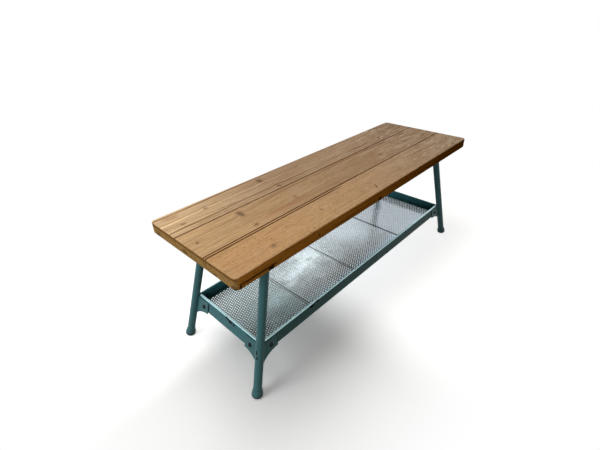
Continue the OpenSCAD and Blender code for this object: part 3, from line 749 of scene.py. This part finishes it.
def perforated_sheet(name, low, high):
    """A punched sheet: columns of square-cornered cells, each a ring of quads between the cell's
    outline and its hole, every second column half a pitch higher; then the border and the edges."""
    column_w = HOLE_PITCH * math.sqrt(3) / 2
    half_w, quarter = column_w / 2, HOLE_PITCH / 4
    size_x, size_y = high[0] - low[0], high[1] - low[1]
    columns = int((size_x - 2 * PLAIN_BORDER) / column_w)
    rows = int((size_y - 2 * PLAIN_BORDER) / HOLE_PITCH - 0.5)
    field_x = (low[0] + high[0]) / 2 - columns * column_w / 2
    field_y = (low[1] + high[1]) / 2 - (rows + 0.5) * HOLE_PITCH / 2

    # The cells: twelve corners of the outline, each joined to one of the hole's
    outline = np.array([(1, k) for k in (-2, -1, 0, 1, 2)] + [(0, 2)]
                       + [(-1, k) for k in (2, 1, 0, -1, -2)] + [(0, -2)]) * (half_w, quarter)
    turn = np.radians(-60 + 360 / HOLE_SIDES * np.arange(HOLE_SIDES))
    hole = np.stack([np.cos(turn), np.sin(turn)], 1) * HOLE_D / 2
    across, up = np.meshgrid(np.arange(columns), np.arange(rows), indexing="ij")
    centres = np.stack([field_x + (across + 0.5) * column_w,
                        field_y + (up + 0.5 + 0.5 * (across % 2)) * HOLE_PITCH], -1).reshape(-1, 1, 2)
    outer, inner = centres + outline, centres + hole
    after = np.roll(np.arange(HOLE_SIDES), -1)
    cells = np.stack([outer, outer[:, after], inner[:, after], inner], 2).reshape(-1, 4, 2)
    walls = np.stack([inner, inner[:, after]], 2).reshape(-1, 2, 2)

    # The half pitch that each column leaves plain: at its top, or at its foot where it starts higher
    right, above = np.meshgrid((0, 1), (0, 1), indexing="ij")
    spare_low = np.where(np.arange(columns) % 2 == 1, field_y, field_y + rows * HOLE_PITCH)
    spare_x = ((field_x + np.arange(columns) * column_w)[:, None] + right.ravel() * half_w).ravel()
    spare_y = (spare_low[:, None] + above.ravel() * quarter).ravel()
    spares = rectangles(spare_x, spare_y, spare_x + half_w, spare_y + quarter)

    # The border: the outermost cells of a grid whose lines are the outlines' own
    xs = np.concatenate([[low[0]], field_x + np.arange(2 * columns + 1) * half_w, [high[0]]])
    ys = np.concatenate([[low[1]], field_y + np.arange(4 * rows + 3) * quarter, [high[1]]])
    i, j = np.meshgrid(np.arange(len(xs) - 1), np.arange(len(ys) - 1), indexing="ij")
    outermost = (i == 0) | (i == len(xs) - 2) | (j == 0) | (j == len(ys) - 2)
    i, j = i[outermost], j[outermost]
    border = rectangles(xs[i], ys[j], xs[i + 1], ys[j + 1])
    rim = np.concatenate([np.stack([xs, np.full(len(xs), low[1])], 1),
                          np.stack([np.full(len(ys) - 1, high[0]), ys[1:]], 1),
                          np.stack([xs[::-1][1:], np.full(len(xs) - 1, high[1])], 1),
                          np.stack([np.full(len(ys) - 1, low[0]), ys[::-1][1:]], 1)])

    # Both faces and the upright walls between them, with their shared corners made one
    flats = np.concatenate([cells, spares, border])
    edges = np.concatenate([walls[:, ::-1], np.stack([rim[:-1], rim[1:]], 1)])
    upright = np.concatenate([at_height(edges, low[2]), at_height(edges[:, ::-1], high[2])], 1)
    quads = np.concatenate([at_height(flats, high[2]), at_height(flats[:, ::-1], low[2]), upright])
    corners, index = np.unique(np.round(quads.reshape(-1, 3), 6), axis=0, return_inverse=True)
    mesh = bpy.data.meshes.new(name)
    mesh.from_pydata(corners.tolist(), [], index.reshape(-1, 4).tolist())
    mesh.update()
    piece = bpy.data.objects.new(name, mesh)
    bpy.context.scene.collection.objects.link(piece)
    return piece


def make_plate_steel():
    """Galvanised steel: zinc with a faint spangle, smeared in clouds. It is brighter in the right half
    and along the front in painted reflection, darker in painted reflection of the seat near the back of
    the left end, rubbed smooth at the far right, and duller at the left end."""
    material, tree, shader, point = new_material("plate_steel")
    x, y, _ = split_point(tree, point)
    spangle = add_node(tree, "TexVoronoi", {"Vector": point, "Scale": 70.0}).outputs["Color"]
    grain = add_node(tree, "SeparateColor", {"Color": spangle}).outputs[0]
    smear = cloud(tree, point, (9.0, 9.0, 9.0), 5.0, 0.6)
    far_half = fade(tree, x, *FAR_HALF_X)
    front_strip = fade(tree, y, *FRONT_STRIP_Y)
    polished = fade(tree, x, *POLISHED_X)
    near_end = fade(tree, x, *NEAR_END_X)
    near_corner = product(tree, near_end, fade(tree, y, *NEAR_CORNER_Y))
    seam = largest(tree, *(beside(tree, x, place, *SEAM_SHADE) for place in SEAMS))
    zinc = mix_colours(tree, grain, STEEL_TINTS["light spangle"], STEEL_TINTS["dark spangle"])
    strip = mix_colours(tree, far_half, STEEL_TINTS["near strip"], STEEL_TINTS["far strip"])
    colour = lay_over(tree, zinc, [
        (product(tree, fade(tree, smear, 0.40, 0.70), 0.6), STEEL_TINTS["smear"]),
        # Painted reflection: lighter in the far half and along the front
        (product(tree, far_half, 0.85), STEEL_TINTS["far half"]),
        (product(tree, front_strip, 0.9), strip),
        (product(tree, polished, 0.85), STEEL_TINTS["polished"]),
        (product(tree, near_end, 0.7), STEEL_TINTS["near end"]),
        # Painted dark reflection of the seat near the back of the left end
        (product(tree, near_corner, 0.35), STEEL_TINTS["near corner"]),
        (product(tree, seam, 0.9), STEEL_TINTS["seam"])])
    rough = total(tree, spread(tree, fade(tree, smear, 0.36, 0.62), 0.19, 0.34), product(tree, grain, 0.04))
    rough = product(tree, rough, spread(tree, polished, 1.0, 0.62))
    metal = product(tree, spread(tree, smear, 0.90, 0.55), spread(tree, near_end, 1.0, 0.70))
    metal = largest(tree, metal, product(tree, polished, 0.95))
    wave = cloud(tree, point, (6.0, 9.0, 6.0), 2.0)
    feed(tree, shader, {
        "Base Color": colour, "Roughness": rough, "Metallic": metal,
        "Normal": bumped(tree, wave, strength=0.4, distance=0.002)})
    return material


plate_steel = make_plate_steel()
for place in PLATES:
    node = "shelf_plate_" + place
    plate = perforated_sheet("perforated_plate_" + place, *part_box(node))
    plate.data.materials.append(plate_steel)
    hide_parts(node)
    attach(plate, "plate_" + place)

# The stage: a pale floor that shows the bench's soft shadow and is white far off, and a white
# background. A broad lamp overhead, a window at the back right, a lamp at the left and a small one
# at the front left light the bench.
WHITE, BLACK = (1.0, 1.0, 1.0, 1.0), (0.0, 0.0, 0.0, 1.0)
FLOOR_SEEN, FLOOR_BOUNCE = (0.88, 0.88, 0.88, 1.0), (0.23, 0.215, 0.185, 1.0)
SKY_LIGHT = (0.115, 0.11, 0.10, 1.0)
# The floor's size, and how far from the bench it has turned plain white
FLOOR_SIZE, FLOOR_FADE = 30.0, 0.5
# Each lamp's place, target, size, power and colour, in metres and watts
LAMPS = {
    "overhead_lamp": ((-0.5, 0.6, 2.6), (0.0, 0.0, 0.3), 1.6, 37.5, (1.0, 0.985, 0.95)),
    "window_lamp": ((1.43, 1.63, 2.03), (-0.2, 0.0, 0.12), 0.65, 4.0, (1.0, 0.985, 0.96)),
    "left_lamp": ((-2.6, 0.6, 1.6), (0.0, 0.0, 0.2), 1.2, 24.0, (0.93, 0.98, 1.0)),
    "front_lamp": ((-1.9, -1.6, 0.9), (-0.5, 0.0, 0.3), 0.8, 5.2, (1.0, 0.98, 0.94)),
}


def seen_by_camera(tree):
    """1 for the rays that see or mirror a surface, and 0 for those that only carry its light."""
    rays = add_node(tree, "LightPath").outputs
    return largest(tree, rays["Is Camera Ray"], rays["Is Glossy Ray"], rays["Is Transmission Ray"])


def make_floor():
    """A wide floor whose colour gives way to plain white with the distance from the bench. What the
    plates' holes show of it glows brighter at the right and the back, a painted light under the tray, and
    it throws back little light."""
    bpy.ops.mesh.primitive_plane_add(size=FLOOR_SIZE)
    floor = bpy.context.object
    floor.name = "floor"
    material, tree, shader, point = new_material("pale_floor")
    x, y, _ = split_point(tree, point)
    seen = seen_by_camera(tree)
    folded = vector_maths(tree, "ABSOLUTE", point)
    beyond = vector_maths(tree, "SUBTRACT", folded, (seat_end, seat_side, 0.0))
    beyond = vector_maths(tree, "MAXIMUM", beyond, (0.0, 0.0, 0.0))
    away = fade(tree, vector_maths(tree, "LENGTH", beyond), 0.0, FLOOR_FADE)
    near_colour = mix_colours(tree, seen, FLOOR_BOUNCE, FLOOR_SEEN)
    # A painted glow under the tray, brighter at the right and the back, where the holes show the floor
    below = largest(tree, fade(tree, x, -0.30, 0.0), product(tree, fade(tree, y, 0.0, 0.16), 0.75))
    glow = product(tree, spread(tree, away, spread(tree, below, 0.18, 0.75), 1.0), seen)
    feed(tree, shader, {
        "Base Color": mix_colours(tree, away, near_colour, BLACK), "Roughness": 0.9,
        "Specular IOR Level": 0.0, "Emission Color": mix_colours(tree, glow, BLACK, WHITE),
        "Emission Strength": 1.0})
    floor.data.materials.append(material)


def make_sky():
    """White where it is seen, and dimmer in the light that it gives."""
    world = bpy.data.worlds.new("studio")
    bpy.context.scene.world = world
    world.use_nodes = True
    tree = world.node_tree
    colour = mix_colours(tree, seen_by_camera(tree), SKY_LIGHT, WHITE)
    feed(tree, tree.nodes["Background"], {"Color": colour})


def make_lamp(name, place, target, size, power, colour):
    """A square lamp that faces a target."""
    lamp = bpy.data.lights.new(name, "AREA")
    lamp.size = size
    lamp.energy = power
    lamp.color = colour
    body = bpy.data.objects.new(name, lamp)
    aim = (Vector(target) - Vector(place)).to_track_quat("-Z", "Y")
    body.matrix_world = Matrix.Translation(place) @ aim.to_matrix().to_4x4()
    bpy.context.scene.collection.objects.link(body)


make_floor()
make_sky()
for name, values in LAMPS.items():
    make_lamp(name, *values)

# The camera stands where the photograph was taken from, at the bench's front left and above it.
# Its lens is about as wide as a phone's, and the whole view is 600 pixels wide.
VIEW_WIDTH_PX = 600
FOCAL_PX = 369.4
CAMERA_PLACE = (-0.9390, -0.7312, 0.9699)
CAMERA_AZIMUTH = math.radians(-45.32)
CAMERA_HEIGHT = math.radians(31.62)
CAMERA_ROLL = math.radians(-2.15)


def make_camera():
    """A camera turned to its azimuth and height, then rolled about its own axis."""
    lens = bpy.data.cameras.new("photo_camera")
    lens.sensor_width = 36.0
    lens.lens = FOCAL_PX / VIEW_WIDTH_PX * lens.sensor_width
    lens.clip_end = 100.0
    camera = bpy.data.objects.new("photo_camera", lens)
    turn = Matrix.Rotation(CAMERA_AZIMUTH, 4, "Z") @ Matrix.Rotation(math.pi / 2 - CAMERA_HEIGHT, 4, "X")
    camera.matrix_world = Matrix.Translation(CAMERA_PLACE) @ turn @ Matrix.Rotation(CAMERA_ROLL, 4, "Z")
    bpy.context.scene.collection.objects.link(camera)
    bpy.context.scene.camera = camera


make_camera()
bpy.context.scene.view_settings.view_transform = "Standard"
